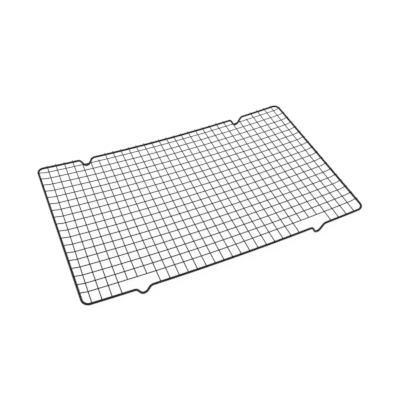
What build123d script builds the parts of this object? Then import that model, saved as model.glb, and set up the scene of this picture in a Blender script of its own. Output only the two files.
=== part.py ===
"""Welded wire cooling rack: a bowed grid of thin wires on a bent frame wire with four feet.

X runs along the rack, Y across it and Z up. The feet stand on z = 0, and the origin is under
the middle of the rack. In side view every long wire follows the same bow, with both ends of
the rack higher than its middle. The bow's centre is far above the rack, so a wire that lies
lower has a larger radius, and the layers touch wherever they cross.
"""

import os
from math import asin, atan2, cos, hypot, sin, tan

from build123d import *

# Wire gauges
FRAME_WIRE = 3.2
GRID_WIRE = 1.45

# Frame outline, measured to the axis of the frame wire
FRAME_HALF_LENGTH = 203.3
FRAME_HALF_WIDTH = 125.4
CORNER_RADIUS = 8.8
BOW_RADIUS = 2370.0
MIDDLE_CLEARANCE = 8.9

# Feet: V bends that point down, two in each long side
FOOT_HALF_SPACING = 128.0
FRONT_FEET_SHIFT = 1.5
BACK_FEET_SHIFT = -1.8
FOOT_TOP_WIDTH = 19.4
FOOT_TOP_RADIUS = 5.3
FOOT_TIP_RADIUS = 5.0
FOOT_LEAD_IN = 3.6

# Grid. It lies a little off the middle of the frame, and its crosswise wires lean a little out of
# square. The lean is the distance along the rack for each millimetre across it.
CROSSWISE_COUNT = 31
LENGTHWISE_COUNT = 18
CROSSWISE_PITCH = 12.65
LENGTHWISE_PITCH = 13.08
GRID_SHIFT_X = -1.05
GRID_SHIFT_Y = 3.1
CROSSWISE_LEAN = 0.0174
SHORT_WIRES = (4, 5, 6)
WIRE_END_LAP = 0.9
SHORT_WIRE_LAP = 0.9
STEP_UP_START = 9.2
STEP_UP_END = 3.4
STEP_UP_RADIUS = 6.0
STEP_UP_LEAD_IN = 1.0

# Butt weld that closes the frame wire
WELD_HEIGHT = 0.35
WELD_LENGTH = 2.4
WELD_CREST = 1.2

# The crosswise wires lie on the frame's long sides, and the lengthwise wires hang under them
crosswise_radius = BOW_RADIUS
lengthwise_radius = crosswise_radius + GRID_WIRE
side_radius = crosswise_radius + (GRID_WIRE + FRAME_WIRE) / 2

bow_centre_height = MIDDLE_CLEARANCE + FRAME_WIRE / 2 + side_radius
outer_lengthwise_y = (LENGTHWISE_COUNT - 1) / 2 * LENGTHWISE_PITCH

# The corners start where a quarter turn brings the wire out at the end side
corner_start_angle = asin(FRAME_HALF_LENGTH / hypot(side_radius, CORNER_RADIUS)) - atan2(
    CORNER_RADIUS, side_radius
)
end_side_angle = asin(FRAME_HALF_LENGTH / side_radius)


def on_bow(radius, angle, y=0.0):
    """Point at a radius and an angle about the bow's centre, where angle 0 is the middle."""
    return Vector(radius * sin(angle), y, bow_centre_height - radius * cos(angle))


def along_bow(angle):
    """Direction of a bowed wire at an angle, towards +X."""
    return Vector(cos(angle), 0, sin(angle))


def foot_tip(left_top, right_top, foot_x):
    """Corner where a foot's two legs would meet if its rounded tip were sharp."""
    tip_centre_z = FRAME_WIRE / 2 + FOOT_TIP_RADIUS
    slopes = []
    for top in (left_top, right_top):
        run = abs(foot_x - top.X)
        drop = top.Z - tip_centre_z
        slopes.append(atan2(drop, run) + asin(FOOT_TIP_RADIUS / hypot(run, drop)))
    left_slope, right_slope = (tan(slope) for slope in slopes)
    rise = left_top.Z - right_top.Z
    span = right_top.X - left_top.X
    left_run = (right_slope * span + rise) / (left_slope + right_slope)
    return Vector(left_top.X + left_run, left_top.Y, left_top.Z - left_slope * left_run)


def foot_corners(foot_x, y):
    """Corners of a foot's outline, from the bowed side on its left to the one on its right."""
    half_angle = (FOOT_TOP_WIDTH / 2 + FOOT_LEAD_IN) / side_radius
    foot_angle = asin(foot_x / side_radius)
    start_angle = foot_angle - half_angle
    end_angle = foot_angle + half_angle
    start = on_bow(side_radius, start_angle, y)
    end = on_bow(side_radius, end_angle, y)
    left_top = start + along_bow(start_angle) * FOOT_LEAD_IN
    right_top = end - along_bow(end_angle) * FOOT_LEAD_IN
    return [start, left_top, foot_tip(left_top, right_top, foot_x), right_top, end]


def bow_angle(point):
    """Angle of a point about the bow's centre."""
    return atan2(point.X, bow_centre_height - point.Z)


def finish(piece, name):
    """Label a finished piece and write it to its own file."""
    piece.part.label = name
    export_step(piece.part, f"parts/{name}.step")


os.makedirs("parts", exist_ok=True)

# Frame wire, as a front half and a back half that meet in the middle of the end sides
with BuildPart() as frame_wire:
    for side, feet_shift in ((-1, FRONT_FEET_SHIFT), (1, BACK_FEET_SHIFT)):
        side_y = side * FRAME_HALF_WIDTH
        left_foot = foot_corners(feet_shift - FOOT_HALF_SPACING, side_y)
        right_foot = foot_corners(feet_shift + FOOT_HALF_SPACING, side_y)
        runs = (
            (-corner_start_angle, bow_angle(left_foot[0])),
            (bow_angle(left_foot[-1]), bow_angle(right_foot[0])),
            (bow_angle(right_foot[-1]), corner_start_angle),
        )
        with BuildLine() as frame_axis:
            for start_angle, end_angle in runs:
                ThreePointArc(
                    on_bow(side_radius, start_angle, side_y),
                    on_bow(side_radius, (start_angle + end_angle) / 2, side_y),
                    on_bow(side_radius, end_angle, side_y),
                )
            for corners in (left_foot, right_foot):
                FilletPolyline(*corners, radius=(FOOT_TOP_RADIUS, FOOT_TIP_RADIUS, FOOT_TOP_RADIUS))
            for end in (-1, 1):
                outward = along_bow(end * corner_start_angle) * end
                corner_start = on_bow(side_radius, end * corner_start_angle, side_y)
                corner_end = corner_start + (outward - Vector(0, side, 0)) * CORNER_RADIUS
                TangentArc(corner_start, corner_end, tangent=outward)
                Line(corner_end, (corner_end.X, 0, corner_end.Z))
        with BuildSketch(Plane(origin=frame_axis.line @ 0, z_dir=frame_axis.line % 0)):
            Circle(FRAME_WIRE / 2)
        sweep(path=frame_axis.line)
finish(frame_wire, "frame_wire")

# Bead of the butt weld, round the middle of the right-hand end side
weld_centre = Vector(corner_end.X, 0, corner_end.Z)
with BuildPart() as frame_weld:
    with BuildSketch(Plane(origin=weld_centre, x_dir=(0, 1, 0), z_dir=(1, 0, 0))):
        with BuildLine():
            Polyline(
                (-WELD_LENGTH / 2, FRAME_WIRE / 2),
                (-WELD_CREST / 2, FRAME_WIRE / 2 + WELD_HEIGHT),
                (WELD_CREST / 2, FRAME_WIRE / 2 + WELD_HEIGHT),
                (WELD_LENGTH / 2, FRAME_WIRE / 2),
                close=True,
            )
        make_face()
    revolve(axis=Axis(weld_centre, (0, 1, 0)))
finish(frame_weld, "frame_weld")

# Crosswise wires lie on the frame's long sides. Those over the feet stop at the outer
# lengthwise wires, because the frame wire dips away under them.
for number in range(CROSSWISE_COUNT):
    grid_x = (number - (CROSSWISE_COUNT - 1) / 2) * CROSSWISE_PITCH + GRID_SHIFT_X
    if min(number, CROSSWISE_COUNT - 1 - number) in SHORT_WIRES:
        wire_ends = [GRID_SHIFT_Y + side * (outer_lengthwise_y + SHORT_WIRE_LAP) for side in (-1, 1)]
    else:
        wire_ends = [side * (FRAME_HALF_WIDTH + WIRE_END_LAP) for side in (-1, 1)]
    front_end, back_end = (
        on_bow(crosswise_radius, (grid_x + CROSSWISE_LEAN * y) / crosswise_radius, y) for y in wire_ends
    )
    with BuildPart() as crosswise_wire:
        with BuildSketch(Plane(origin=front_end, z_dir=back_end - front_end)):
            Circle(GRID_WIRE / 2)
        extrude(amount=(back_end - front_end).length)
    finish(crosswise_wire, f"crosswise_wire_{number + 1:02d}")

# Lengthwise wires run under the crosswise wires, and each end steps up onto an end side
bowed_angle = end_side_angle - (STEP_UP_START + STEP_UP_LEAD_IN) / lengthwise_radius
step_up_angle = end_side_angle - STEP_UP_END / crosswise_radius
wire_end_angle = end_side_angle + WIRE_END_LAP / crosswise_radius
for number in range(LENGTHWISE_COUNT):
    wire_y = (number - (LENGTHWISE_COUNT - 1) / 2) * LENGTHWISE_PITCH + GRID_SHIFT_Y
    with BuildPart() as lengthwise_wire:
        with BuildLine() as wire_axis:
            ThreePointArc(*(on_bow(lengthwise_radius, turn * bowed_angle, wire_y) for turn in (-1, 0, 1)))
            for end in (-1, 1):
                bow_end = on_bow(lengthwise_radius, end * bowed_angle, wire_y)
                FilletPolyline(
                    bow_end,
                    bow_end + along_bow(end * bowed_angle) * end * STEP_UP_LEAD_IN,
                    on_bow(crosswise_radius, end * step_up_angle, wire_y),
                    on_bow(crosswise_radius, end * wire_end_angle, wire_y),
                    radius=STEP_UP_RADIUS,
                )
        with BuildSketch(Plane(origin=wire_axis.line @ 0, z_dir=wire_axis.line % 0)):
            Circle(GRID_WIRE / 2)
        sweep(path=wire_axis.line)
    finish(lengthwise_wire, f"lengthwise_wire_{number + 1:02d}")
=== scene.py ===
# %% [markdown]
# # A welded wire cooling rack
# A cooling rack is bent and welded from round steel wire: one thick frame wire, with its feet bent out
# of it, and a mesh of thin wires spot welded to it. The whole rack then gets a black non-stick coating.
# This notebook models every wire the way a wire bender works. A ring of points is the wire's section:
# extruding it makes a straight run, and spinning it about a point makes a bend.

# %% Load the frame
import random
from math import asin, atan2, ceil, cos, hypot, pi, radians, sin, tan

import bmesh
import bpy
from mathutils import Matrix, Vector


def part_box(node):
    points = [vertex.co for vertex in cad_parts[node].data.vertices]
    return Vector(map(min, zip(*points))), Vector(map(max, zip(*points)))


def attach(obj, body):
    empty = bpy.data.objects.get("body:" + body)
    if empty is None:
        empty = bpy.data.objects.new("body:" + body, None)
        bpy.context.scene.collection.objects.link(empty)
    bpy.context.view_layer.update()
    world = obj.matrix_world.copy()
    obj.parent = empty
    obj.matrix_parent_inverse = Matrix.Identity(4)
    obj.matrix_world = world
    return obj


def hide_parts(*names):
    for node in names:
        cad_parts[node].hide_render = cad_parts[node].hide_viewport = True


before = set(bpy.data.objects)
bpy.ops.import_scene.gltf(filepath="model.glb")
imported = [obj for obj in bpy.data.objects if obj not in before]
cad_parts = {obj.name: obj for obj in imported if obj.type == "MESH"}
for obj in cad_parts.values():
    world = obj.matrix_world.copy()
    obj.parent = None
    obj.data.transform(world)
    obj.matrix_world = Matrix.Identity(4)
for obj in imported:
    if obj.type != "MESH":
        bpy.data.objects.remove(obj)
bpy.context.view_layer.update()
crosswise_nodes = sorted(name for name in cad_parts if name.startswith("crosswise_wire"))
lengthwise_nodes = sorted(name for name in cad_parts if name.startswith("lengthwise_wire"))
print(len(crosswise_nodes), "crosswise and", len(lengthwise_nodes), "lengthwise wires")

# %% [markdown]
# ## Measuring the bow
# The rack isn't flat. Its ends are a little higher than its middle, and every layer of wire follows a
# circle about the same far-away point above it. Two crosswise wires are enough to find that circle: the
# middle one is its lowest point, and an outer one says how far it has risen.


# %% Sizes read from the frame
def middle_of(node):
    low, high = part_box(node)
    return (low + high) / 2


def width_of(node, axis):
    low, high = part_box(node)
    return high[axis] - low[axis]


grid_wire = width_of(lengthwise_nodes[0], 1)
first_crosswise = middle_of(crosswise_nodes[0])
middle_crosswise = middle_of(crosswise_nodes[len(crosswise_nodes) // 2])
rise = first_crosswise.z - middle_crosswise.z
crosswise_radius = (first_crosswise.x**2 + rise**2) / (2 * rise)
bow_centre_z = middle_crosswise.z + crosswise_radius
print(f"grid wire {grid_wire * 1000:.2f} mm, bow radius {crosswise_radius * 1000:.0f} mm")

# %% Sizes of the bends, in metres, as in the CAD source
FRAME_WIRE = 0.0032
CORNER_RADIUS = 0.0088
FOOT_HALF_SPACING = 0.128
FEET_SHIFT = {-1: 0.0015, 1: -0.0018}
FOOT_TOP_WIDTH = 0.0194
FOOT_TOP_RADIUS = 0.0053
FOOT_TIP_RADIUS = 0.005
FOOT_LEAD_IN = 0.0036
WIRE_END_LAP = 0.0009
STEP_UP_START = 0.0092
STEP_UP_END = 0.0034
STEP_UP_RADIUS = 0.006
STEP_UP_LEAD_IN = 0.001

# A slope: how far a crosswise wire moves along the rack for each metre across it
CROSSWISE_LEAN = 0.0174

lengthwise_radius = crosswise_radius + grid_wire
side_radius = crosswise_radius + (grid_wire + FRAME_WIRE) / 2
half_width = width_of("frame_wire", 1) / 2 - FRAME_WIRE / 2
half_length = width_of("frame_wire", 0) / 2 - FRAME_WIRE / 2
grid_y = (middle_of(lengthwise_nodes[0]).y + middle_of(lengthwise_nodes[-1]).y) / 2
end_side_angle = asin(half_length / side_radius)
corner_start_angle = asin(half_length / hypot(side_radius, CORNER_RADIUS))
corner_start_angle -= atan2(CORNER_RADIUS, side_radius)
print(f"frame {half_length * 2000:.1f} by {half_width * 2000:.1f} mm between wire centres")


# %% Points and directions on the bow
def on_bow(radius, angle, y=0.0):
    """Point at a radius and angle about the bow's centre. Angle 0 is the middle of the rack."""
    return Vector((radius * sin(angle), y, bow_centre_z - radius * cos(angle)))


def along_bow(angle):
    """Direction of a bowed wire at an angle, towards +X."""
    return Vector((cos(angle), 0, sin(angle)))


def bow_angle(point):
    return atan2(point.x, bow_centre_z - point.z)


# %% [markdown]
# ## A small wire bender
# Four helpers are the moves of the bench. `start_wire` cuts the stock: a circle with no face, turned to
# face the way the wire sets off. `straight_to` extrudes the open end to a point. `round_corner` runs up
# to a bend and spins the end about the bend's centre, so that a round corner has its true radius.
# `follow_bow` spins it about the far-away centre of the bow. A curve with a bevel would be quicker, but
# its rings crowd together in tight bends, and here each bend gets exactly the rings that it needs. Spin
# counts its angle the other way round from the right-hand rule, so `bend` changes the sign.


# %% The four moves
SHORTEST_RUN = 1e-6
RING_GAP = 0.012


def start_wire(name, start, heading, radius, sides):
    bpy.ops.object.select_all(action="DESELECT")
    turn = heading.to_track_quat("Z", "Y").to_euler()
    bpy.ops.mesh.primitive_circle_add(vertices=sides, radius=radius, location=start, rotation=turn)
    bpy.ops.object.transform_apply(location=True, rotation=True, scale=True)
    wire = bpy.context.object
    wire.name = wire.data.name = name
    bpy.ops.object.mode_set(mode="EDIT")
    bpy.ops.mesh.select_all(action="SELECT")
    return wire


def wire_tip():
    """Centre of the open ring, which is what is selected."""
    ring = [v.co for v in bmesh.from_edit_mesh(bpy.context.object.data).verts if v.select]
    return sum(ring, Vector()) / len(ring)


def straight_to(point, pieces=1):
    run = Vector(point) - wire_tip()
    if run.length > SHORTEST_RUN:
        for _ in range(pieces):
            bpy.ops.mesh.extrude_region_move(TRANSFORM_OT_translate={"value": run / pieces})


def bend(centre, axis, angle, steps):
    """Turn the open end about a centre, by the right-hand rule."""
    bpy.ops.mesh.spin(steps=steps, angle=-angle, center=centre, axis=axis)


def round_corner(corner, towards, radius, steps):
    incoming = (corner - wire_tip()).normalized()
    turn = incoming.angle(towards)
    bend_start = corner - incoming * radius * tan(turn / 2)
    straight_to(bend_start)
    axis = incoming.cross(towards).normalized()
    bend(bend_start + axis.cross(incoming) * radius, axis, turn, steps)


def follow_bow(angle, ring_gap=RING_GAP):
    tip = wire_tip()
    turn = bow_angle(tip) - angle
    steps = ceil(abs(turn) * crosswise_radius / ring_gap)
    bend((0, tip.y, bow_centre_z), (0, 1, 0), turn, steps)


# %% [markdown]
# A wire that isn't closed on itself is cut at its ends, and the coating rounds the edge of the cut.
# `cap_end` makes that edge in two small steps and a face. `finish_wire` mirrors a wire that was modelled
# as one half, merges the points of its seam and shades its round side smooth.

# %% Cut ends and finishing
CAP_ADVANCE = 0.12
CAP_SHRINKS = (0.93, 0.8)
MERGE_DISTANCE = 1e-5
SMOOTH_ANGLE = radians(35)


def cap_end(heading, radius):
    advance = heading * radius * CAP_ADVANCE
    for shrink in CAP_SHRINKS:
        bpy.ops.mesh.extrude_region_move(TRANSFORM_OT_translate={"value": advance})
        bpy.ops.transform.resize(value=(shrink,) * 3, center_override=wire_tip())
    bpy.ops.mesh.edge_face_add()


def finish_wire(wire, mirror_axis=None):
    bpy.ops.object.mode_set(mode="OBJECT")
    if mirror_axis is not None:
        mirror = wire.modifiers.new("other_half", "MIRROR")
        mirror.use_axis = [axis == mirror_axis for axis in range(3)]
        mirror.merge_threshold = MERGE_DISTANCE
        bpy.ops.object.modifier_apply(modifier=mirror.name)
    bpy.ops.object.mode_set(mode="EDIT")
    bpy.ops.mesh.select_all(action="SELECT")
    bpy.ops.mesh.remove_doubles(threshold=MERGE_DISTANCE)
    bpy.ops.mesh.normals_make_consistent(inside=False)
    bpy.ops.object.mode_set(mode="OBJECT")
    bpy.ops.object.shade_smooth_by_angle(angle=SMOOTH_ANGLE)
    return wire


# %% [markdown]
# ## The frame wire
# The frame is one length of thick wire. It starts at the butt weld in the middle of the right-hand end
# side, runs to the front, and goes all the way round. Each long side dips twice, and each dip is a foot:
# a bend down, a straight leg, a tight bend at the tip, a leg up and a bend back into the side. The tip of
# a foot has to touch the table exactly, so its bend has a fixed height, with the underside of the wire at
# z = 0, and both legs are aimed to run smoothly into it.


# %% Feet
def foot_tip(left_top, right_top, foot_x):
    """Sharp corner where the two legs of a foot would meet below its rounded tip."""
    tip_centre_z = FRAME_WIRE / 2 + FOOT_TIP_RADIUS
    slopes = []
    for top in (left_top, right_top):
        run, drop = abs(foot_x - top.x), top.z - tip_centre_z
        slopes.append(tan(atan2(drop, run) + asin(FOOT_TIP_RADIUS / hypot(run, drop))))
    span = right_top.x - left_top.x
    left_run = (slopes[1] * span + left_top.z - right_top.z) / sum(slopes)
    return Vector((left_top.x + left_run, left_top.y, left_top.z - slopes[0] * left_run))


def foot_corners(foot_x, y):
    """Start, three corners and end of a foot, from left to right."""
    half_angle = (FOOT_TOP_WIDTH / 2 + FOOT_LEAD_IN) / side_radius
    first, last = asin(foot_x / side_radius) - half_angle, asin(foot_x / side_radius) + half_angle
    start, end = on_bow(side_radius, first, y), on_bow(side_radius, last, y)
    left_top = start + along_bow(first) * FOOT_LEAD_IN
    right_top = end - along_bow(last) * FOOT_LEAD_IN
    return [start, left_top, foot_tip(left_top, right_top, foot_x), right_top, end]


# %% Bend the frame wire
FRAME_SIDES = 20
CORNER_STEPS, FOOT_TOP_STEPS, FOOT_TIP_STEPS = 12, 8, 14


def sharp_corner(end, y):
    edge = on_bow(side_radius, end * corner_start_angle, y)
    return edge + along_bow(end * corner_start_angle) * end * CORNER_RADIUS


def bend_foot(corners):
    start, top_in, tip, top_out, end = corners
    follow_bow(bow_angle(start))
    round_corner(top_in, (tip - top_in).normalized(), FOOT_TOP_RADIUS, FOOT_TOP_STEPS)
    round_corner(tip, (top_out - tip).normalized(), FOOT_TIP_RADIUS, FOOT_TIP_STEPS)
    round_corner(top_out, (end - top_out).normalized(), FOOT_TOP_RADIUS, FOOT_TOP_STEPS)
    straight_to(end)


weld_point = sharp_corner(1, 0)
frame_wire = start_wire("frame_wire_bent", weld_point, Vector((0, -1, 0)), FRAME_WIRE / 2, FRAME_SIDES)
for side in (-1, 1):
    side_y = side * half_width
    onward = along_bow(-side * corner_start_angle) * side
    round_corner(sharp_corner(-side, side_y), onward, CORNER_RADIUS, CORNER_STEPS)
    for foot in (-side, side):
        corners = foot_corners(FEET_SHIFT[side] + foot * FOOT_HALF_SPACING, side_y)
        bend_foot(corners[::side])
    follow_bow(side * corner_start_angle)
    round_corner(sharp_corner(side, side_y), Vector((0, -side, 0)), CORNER_RADIUS, CORNER_STEPS)
straight_to(weld_point)
finish_wire(frame_wire)
print("frame wire:", len(frame_wire.data.polygons), "faces")

# %% [markdown]
# ## The butt weld
# The two ends of the frame wire meet end to end and are upset together, which leaves a low ring of weld
# metal. It is turned from a ring that grows and shrinks again as it is extruded along the wire, and then
# its points are nudged a few hundredths of a millimetre, because a weld is never quite even.

# %% Weld bead
BEAD_LENGTH = width_of("frame_weld", 1)
BEAD_HEIGHT = width_of("frame_weld", 0) / 2 - FRAME_WIRE / 2
BEAD_SIDES, BEAD_STEPS = 24, 8
BEAD_UNEVENNESS = 0.00003
along_y = Vector((0, 1, 0))
bead_start = weld_point - along_y * BEAD_LENGTH / 2
weld_bead = start_wire("frame_weld_bead", bead_start, along_y, FRAME_WIRE / 2, BEAD_SIDES)
bpy.ops.mesh.edge_face_add()
swell = [FRAME_WIRE / 2 + BEAD_HEIGHT * sin(pi * step / BEAD_STEPS) for step in range(BEAD_STEPS + 1)]
bead_step = along_y * BEAD_LENGTH / BEAD_STEPS
for before, after in zip(swell, swell[1:]):
    bpy.ops.mesh.extrude_region_move(TRANSFORM_OT_translate={"value": bead_step})
    bpy.ops.transform.resize(value=(after / before, 1, after / before), center_override=wire_tip())
bpy.ops.mesh.select_all(action="SELECT")
bpy.ops.transform.vertex_random(offset=BEAD_UNEVENNESS, seed=4)
finish_wire(weld_bead)
print("weld bead:", len(weld_bead.data.polygons), "faces")

# %% [markdown]
# ## The thin wires
# All crosswise wires are alike except the ones over the feet, which are shorter, and all lengthwise
# wires are alike. So each of the three is modelled once, as one half that a Mirror modifier completes,
# and then duplicated with its own mesh. A crosswise wire is straight. A lengthwise wire follows the bow
# and steps up at each end, from under the crosswise wires onto the end side of the frame.

# %% Patterns for the thin wires
GRID_SIDES = 12
CROSSWISE_PIECES = 12
LENGTHWISE_RING_GAP = 0.009
STEP_UP_STEPS = 3
grid_radius = grid_wire / 2
cap_length = grid_radius * CAP_ADVANCE * len(CAP_SHRINKS)


def crosswise_pattern(name, half_span):
    wire = start_wire(name, (0, 0, 0), along_y, grid_radius, GRID_SIDES)
    straight_to(along_y * (half_span - cap_length), pieces=CROSSWISE_PIECES)
    cap_end(along_y, grid_radius)
    return finish_wire(wire, mirror_axis=1)


def lengthwise_pattern(name):
    wire = start_wire(name, on_bow(lengthwise_radius, 0), Vector((1, 0, 0)), grid_radius, GRID_SIDES)
    bow_end = end_side_angle - (STEP_UP_START + STEP_UP_LEAD_IN) / lengthwise_radius
    follow_bow(bow_end, ring_gap=LENGTHWISE_RING_GAP)
    step_foot = on_bow(lengthwise_radius, bow_end) + along_bow(bow_end) * STEP_UP_LEAD_IN
    step_top = on_bow(crosswise_radius, end_side_angle - STEP_UP_END / crosswise_radius)
    wire_end = on_bow(crosswise_radius, end_side_angle + WIRE_END_LAP / crosswise_radius)
    outward = (wire_end - step_top).normalized()
    round_corner(step_foot, (step_top - step_foot).normalized(), STEP_UP_RADIUS, STEP_UP_STEPS)
    round_corner(step_top, outward, STEP_UP_RADIUS, STEP_UP_STEPS)
    straight_to(wire_end - outward * cap_length)
    cap_end(outward, grid_radius)
    return finish_wire(wire, mirror_axis=0)


# %% [markdown]
# ## Laying the mesh
# The crosswise wires of this rack lean about a degree out of square, so a copy is turned before it is
# laid. On the rising ends of the bow such a wire also climbs a little towards one side, and the
# difference between two points on the bow gives both turns at once. Real mesh wires are never perfectly
# straight either. Each copy is pulled sideways by a fraction of a millimetre at two or three places with
# proportional editing, which drags the neighbouring rings along in a smooth curve. The pulls hardly
# leave the plane of the mesh, so wires that touch go on touching.

# %% Copies of a pattern, each with its own mesh
chance = random.Random(31)
MOST_PULL = 0.00022
PULLED_SHARE = 0.8
CROSSWISE_PULLS, CROSSWISE_REACH = 2, 0.07
LENGTHWISE_PULLS, LENGTHWISE_REACH = 3, 0.08


def lean_at(angle):
    """Turn that takes +Y to the direction of a leaning crosswise wire at this place on the bow."""
    half_lean = CROSSWISE_LEAN * half_width / crosswise_radius
    front, back = (
        on_bow(crosswise_radius, angle + side * half_lean, side * half_width) for side in (-1, 1)
    )
    return along_y.rotation_difference(back - front).to_euler()


def lay_copy(pattern, name, place, turn=(0, 0, 0)):
    bpy.ops.object.select_all(action="DESELECT")
    pattern.select_set(True)
    bpy.context.view_layer.objects.active = pattern
    bpy.ops.object.duplicate()
    wire = bpy.context.object
    wire.name = wire.data.name = name
    wire.rotation_euler = turn
    wire.location = place
    bpy.ops.object.transform_apply(location=True, rotation=True, scale=False)
    return wire


def pull_sideways(wire, along, across, reach):
    """Drag the wire sideways near a random place, with a smooth falloff."""
    bpy.ops.object.mode_set(mode="EDIT")
    mesh = bmesh.from_edit_mesh(wire.data)
    span = max(v.co[along] for v in mesh.verts)
    target = chance.uniform(-PULLED_SHARE, PULLED_SHARE) * span
    nearest = min((v.co[along] for v in mesh.verts), key=lambda place: abs(place - target))
    for vert in mesh.verts:
        vert.select = abs(vert.co[along] - nearest) < grid_radius
    mesh.select_flush_mode()
    bmesh.update_edit_mesh(wire.data)
    shift = [0, 0, 0]
    shift[across] = chance.uniform(-MOST_PULL, MOST_PULL)
    bpy.ops.transform.translate(value=shift, use_proportional_edit=True, proportional_size=reach)
    bpy.ops.object.mode_set(mode="OBJECT")


# %% Crosswise wires
def reaches_frame(node):
    """Whether a crosswise wire is a long one. The short ones stop at the outermost lengthwise wires."""
    return width_of(node, 1) > long_span + short_span


long_span = max(width_of(node, 1) for node in crosswise_nodes) / 2
short_span = min(width_of(node, 1) for node in crosswise_nodes) / 2
patterns = {
    long_span: crosswise_pattern("pattern_long", long_span),
    short_span: crosswise_pattern("pattern_short", short_span),
}
crosswise_angles = {node: asin(middle_of(node).x / crosswise_radius) for node in crosswise_nodes}
grid_pieces = {}
for node, angle in crosswise_angles.items():
    pattern = patterns[long_span if reaches_frame(node) else short_span]
    wire = lay_copy(pattern, node + "_laid", middle_of(node), lean_at(angle))
    for _ in range(CROSSWISE_PULLS):
        pull_sideways(wire, along=1, across=0, reach=CROSSWISE_REACH)
    grid_pieces[node] = wire
print("crosswise wires:", len(grid_pieces), "pieces of", len(wire.data.polygons), "faces")

# %% Lengthwise wires
patterns["lengthwise"] = lengthwise_pattern("pattern_lengthwise")
for node in lengthwise_nodes:
    wire = lay_copy(patterns["lengthwise"], node + "_laid", along_y * middle_of(node).y)
    for _ in range(LENGTHWISE_PULLS):
        pull_sideways(wire, along=0, across=1, reach=LENGTHWISE_REACH)
    grid_pieces[node] = wire
for pattern in patterns.values():
    bpy.data.objects.remove(pattern)
print("lengthwise wires:", len(lengthwise_nodes), "pieces of", len(wire.data.polygons), "faces")

# %% [markdown]
# ## Spot welds
# Where two wires cross, a current melts them together, and the coating fills the corners left between
# them. At each crossing that shows as a small collar. There are hundreds, so the collar has few faces: a
# low sphere, squashed flat, with its middle ring drawn out into the corners. An Array modifier makes one
# row of collars, the row is duplicated along the bow, and all the rows are joined into one piece.

# %% Rows of weld collars
COLLAR_SEGMENTS, COLLAR_RINGS = 8, 5
MIDDLE_RING_HEIGHT = 0.5
MIDDLE_RING_STRETCH = (1.12, 1.12, 0.7)


def weld_rows(name, size, count, pitch, places):
    bpy.ops.object.select_all(action="DESELECT")
    bpy.ops.mesh.primitive_uv_sphere_add(segments=COLLAR_SEGMENTS, ring_count=COLLAR_RINGS)
    collar = bpy.context.object
    bpy.ops.object.mode_set(mode="EDIT")
    mesh = bmesh.from_edit_mesh(collar.data)
    for vert in mesh.verts:
        vert.select = abs(vert.co.z) < MIDDLE_RING_HEIGHT
    mesh.select_flush_mode()
    bmesh.update_edit_mesh(collar.data)
    bpy.ops.transform.resize(value=MIDDLE_RING_STRETCH, center_override=(0, 0, 0))
    bpy.ops.mesh.select_all(action="SELECT")
    bpy.ops.transform.resize(value=size, center_override=(0, 0, 0))
    bpy.ops.transform.translate(value=(0, -(count - 1) / 2 * pitch, 0))
    bpy.ops.object.mode_set(mode="OBJECT")
    row = collar.modifiers.new("row", "ARRAY")
    row.count = count
    row.use_relative_offset = False
    row.use_constant_offset = True
    row.constant_offset_displace = (0, pitch, 0)
    bpy.ops.object.modifier_apply(modifier=row.name)
    bpy.ops.object.shade_smooth()
    rows = [lay_copy(collar, name, place, turn) for place, turn in places]
    for each in rows:
        each.select_set(True)
    bpy.context.view_layer.objects.active = rows[0]
    bpy.ops.object.join()
    bpy.data.objects.remove(collar)
    rows[0].name = rows[0].data.name = name
    return rows[0]


# %% Spot welds of the mesh and of the frame
MESH_COLLAR = (0.00056, 0.00056, 0.0004)
SIDE_COLLAR = (0.0007, 0.0009, 0.00045)
END_COLLAR = (0.0009, 0.0007, 0.00045)
lengthwise_ys = [middle_of(node).y for node in lengthwise_nodes]
lengthwise_pitch = (lengthwise_ys[-1] - lengthwise_ys[0]) / (len(lengthwise_ys) - 1)
long_angles = [angle for node, angle in crosswise_angles.items() if reaches_frame(node)]
contact_radius = crosswise_radius + grid_radius
welds = [
    weld_rows(
        "mesh_spot_welds",
        MESH_COLLAR,
        len(lengthwise_nodes),
        lengthwise_pitch,
        [(on_bow(contact_radius, angle, grid_y), lean_at(angle)) for angle in crosswise_angles.values()],
    ),
    weld_rows(
        "side_spot_welds",
        SIDE_COLLAR,
        2,
        2 * half_width,
        [(on_bow(contact_radius, angle), lean_at(angle)) for angle in long_angles],
    ),
    weld_rows(
        "end_spot_welds",
        END_COLLAR,
        len(lengthwise_nodes),
        lengthwise_pitch,
        [(on_bow(contact_radius, end * end_side_angle, grid_y), (0, 0, 0)) for end in (-1, 1)],
    ),
]
print("spot welds:", sum(len(piece.data.polygons) for piece in welds), "faces")

# %% [markdown]
# ## The non-stick coating
# The coating is thin and baked on, almost black with a trace of blue. It isn't one flat colour: it pools
# a little thicker in places, and it has a fine orange-peel surface. Noise textures on Object coordinates
# carry this: a cloudy one varies the colour, a medium one the roughness, and a fine one drives the bump.
# The tips of the feet are scuffed where they slide on the worktop. A mask by height above the table,
# broken up by one more noise, paints them a little lighter.


# %% Helpers that link texture nodes
def link_noise(tree, coordinates, scale, detail, roughness=0.5):
    noise = tree.nodes.new("ShaderNodeTexNoise")
    noise.inputs["Scale"].default_value = scale
    noise.inputs["Detail"].default_value = detail
    noise.inputs["Roughness"].default_value = roughness
    tree.links.new(coordinates, noise.inputs["Vector"])
    return noise.outputs["Fac"]


def link_range(tree, value, from_low, from_high, to_low, to_high):
    node = tree.nodes.new("ShaderNodeMapRange")
    node.inputs["From Min"].default_value = from_low
    node.inputs["From Max"].default_value = from_high
    node.inputs["To Min"].default_value = to_low
    node.inputs["To Max"].default_value = to_high
    tree.links.new(value, node.inputs["Value"])
    return node.outputs["Result"]


def link_multiply(tree, first, second):
    node = tree.nodes.new("ShaderNodeMath")
    node.operation = "MULTIPLY"
    tree.links.new(first, node.inputs[0])
    tree.links.new(second, node.inputs[1])
    return node.outputs["Value"]


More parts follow.
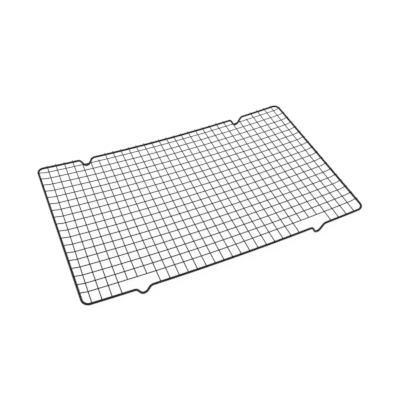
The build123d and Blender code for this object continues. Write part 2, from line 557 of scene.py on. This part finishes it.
def link_mix(tree, factor, first, second):
    """Mix two colours. Each is a colour or the output of another node."""
    node = tree.nodes.new("ShaderNodeMix")
    node.data_type = "RGBA"
    tree.links.new(factor, node.inputs["Factor"])
    for name, colour in (("A", first), ("B", second)):
        socket = next(s for s in node.inputs if s.name == name and s.type == "RGBA")
        if isinstance(colour, tuple):
            socket.default_value = (*colour, 1)
        else:
            tree.links.new(colour, socket)
    return next(s for s in node.outputs if s.type == "RGBA")


# %% Coating material
COATING_THIN = (0.0075, 0.0072, 0.0120)
COATING_THICK = (0.0040, 0.0038, 0.0065)
COATING_RUBBED = (0.040, 0.040, 0.046)
CLOUDS = {"scale": 45, "detail": 3}
STREAKS = {"scale": 260, "detail": 4, "roughness": 0.6}
SCUFFS = {"scale": 1800, "detail": 4, "roughness": 0.7}
PEEL_DETAIL = 2
NOISE_LOW, NOISE_HIGH = 0.3, 0.7
SCUFF_STARTS, SCUFF_FULL = 0.42, 0.6
ALL_SCUFFED_BELOW, NONE_SCUFFED_ABOVE = 0.0002, 0.0014
SMOOTHEST, ROUGHEST = 0.36, 0.52
PEEL_STRENGTH = 0.55
SPECULAR_LEVEL = 0.2


def coating(name, peel_scale, peel_depth):
    material = bpy.data.materials.new(name)
    material.use_nodes = True
    tree = material.node_tree
    shader = tree.nodes["Principled BSDF"]
    place = tree.nodes.new("ShaderNodeTexCoord").outputs["Object"]
    clouds = link_range(tree, link_noise(tree, place, **CLOUDS), NOISE_LOW, NOISE_HIGH, 0, 1)
    colour = link_mix(tree, clouds, COATING_THIN, COATING_THICK)
    height = tree.nodes.new("ShaderNodeSeparateXYZ")
    tree.links.new(place, height.inputs["Vector"])
    low = link_range(tree, height.outputs["Z"], ALL_SCUFFED_BELOW, NONE_SCUFFED_ABOVE, 1, 0)
    scuffs = link_range(tree, link_noise(tree, place, **SCUFFS), SCUFF_STARTS, SCUFF_FULL, 0, 1)
    rubbed = link_multiply(tree, low, scuffs)
    colour = link_mix(tree, rubbed, colour, COATING_RUBBED)
    tree.links.new(colour, shader.inputs["Base Color"])
    streaks = link_noise(tree, place, **STREAKS)
    roughness = link_range(tree, streaks, NOISE_LOW, NOISE_HIGH, SMOOTHEST, ROUGHEST)
    tree.links.new(roughness, shader.inputs["Roughness"])
    peel = tree.nodes.new("ShaderNodeBump")
    peel.inputs["Strength"].default_value = PEEL_STRENGTH
    peel.inputs["Distance"].default_value = peel_depth
    tree.links.new(link_noise(tree, place, peel_scale, PEEL_DETAIL), peel.inputs["Height"])
    tree.links.new(peel.outputs["Normal"], shader.inputs["Normal"])
    shader.inputs["Specular IOR Level"].default_value = SPECULAR_LEVEL
    return material


frame_coating = coating("frame_coating", peel_scale=1500, peel_depth=0.00005)
grid_coating = coating("grid_coating", peel_scale=2400, peel_depth=0.00003)

# %% Give every piece its coating and its place in the frame
frame_pieces = {"frame_wire": frame_wire, "frame_weld": weld_bead}
for node, piece in {**frame_pieces, **grid_pieces}.items():
    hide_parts(node)
for piece in (*frame_pieces.values(), *grid_pieces.values(), *welds):
    piece.data.materials.clear()
    piece.data.materials.append(frame_coating if piece in frame_pieces.values() else grid_coating)
    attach(piece, "root")

# %% [markdown]
# ## Floor, light and camera
# The floor is a plain pale sheet under a soft, even white sky. Most of its white is a glow of its own, so
# the rack casts almost no shadow. One cool lamp stands beyond the back left-hand corner and gives the
# wires there a soft highlight, which fades along the rack. The Standard view transform keeps white as
# white.

# %% Floor
FLOOR_SIZE = 12
SHEET_REFLECTANCE = 0.15
SHEET_GLOW = 0.86
bpy.ops.object.select_all(action="DESELECT")
bpy.ops.mesh.primitive_plane_add(size=FLOOR_SIZE, location=(0, 0, 0))
floor = bpy.context.object
floor.name = "floor"
sheet = bpy.data.materials.new("pale_floor")
sheet.use_nodes = True
sheet_shader = sheet.node_tree.nodes["Principled BSDF"]
sheet_shader.inputs["Base Color"].default_value = (*(SHEET_REFLECTANCE,) * 3, 1)
sheet_shader.inputs["Roughness"].default_value = 1
sheet_shader.inputs["Specular IOR Level"].default_value = 0
sheet_shader.inputs["Emission Color"].default_value = (1, 1, 1, 1)
sheet_shader.inputs["Emission Strength"].default_value = SHEET_GLOW
floor.data.materials.append(sheet)

# %% Light
SKY_STRENGTH = 1.0
LAMP_POWER = 2.5
LAMP_SIZE = 0.4
LAMP_COLOUR = (0.72, 0.68, 1.0)
LAMP_PLACE = (-0.6, 0.5, 0.5)
scene = bpy.context.scene
scene.world = bpy.data.worlds.new("white_sky")
scene.world.use_nodes = True
sky = scene.world.node_tree.nodes["Background"]
sky.inputs["Color"].default_value = (1, 1, 1, 1)
sky.inputs["Strength"].default_value = SKY_STRENGTH
lamp_data = bpy.data.lights.new("soft_lamp", "AREA")
lamp_data.energy = LAMP_POWER
lamp_data.size = LAMP_SIZE
lamp_data.color = LAMP_COLOUR
lamp = bpy.data.objects.new("soft_lamp", lamp_data)
lamp.location = LAMP_PLACE
lamp.rotation_euler = (-lamp.location).to_track_quat("-Z", "Y").to_euler()
scene.collection.objects.link(lamp)
scene.view_settings.view_transform = "Standard"

# %% Camera
CAMERA_AZIMUTH = radians(-25.446)
CAMERA_ELEVATION = radians(48.002)
CAMERA_ROLL = radians(2.086)
CAMERA_DISTANCE = 0.7796
CAMERA_LENS = 47.88
AIM_RIGHT, AIM_UP = 0.00624, -0.01409
mesh_middle = on_bow(lengthwise_radius, 0, grid_y)
backward = Vector(
    (
        sin(CAMERA_AZIMUTH) * cos(CAMERA_ELEVATION),
        -cos(CAMERA_AZIMUTH) * cos(CAMERA_ELEVATION),
        sin(CAMERA_ELEVATION),
    )
)
camera_data = bpy.data.cameras.new("camera")
camera_data.lens = CAMERA_LENS
camera = bpy.data.objects.new("camera", camera_data)
level = backward.to_track_quat("Z", "Y").to_matrix()
rightward = level.col[0] * cos(CAMERA_ROLL) + level.col[1] * sin(CAMERA_ROLL)
upward = backward.cross(rightward)
turned = level.copy()
turned.col[0], turned.col[1] = rightward, upward
camera.rotation_euler = turned.to_euler()
camera.location = mesh_middle + backward * CAMERA_DISTANCE + rightward * AIM_RIGHT + upward * AIM_UP
scene.collection.objects.link(camera)
scene.camera = camera
print("camera at", [round(v, 3) for v in camera.location])
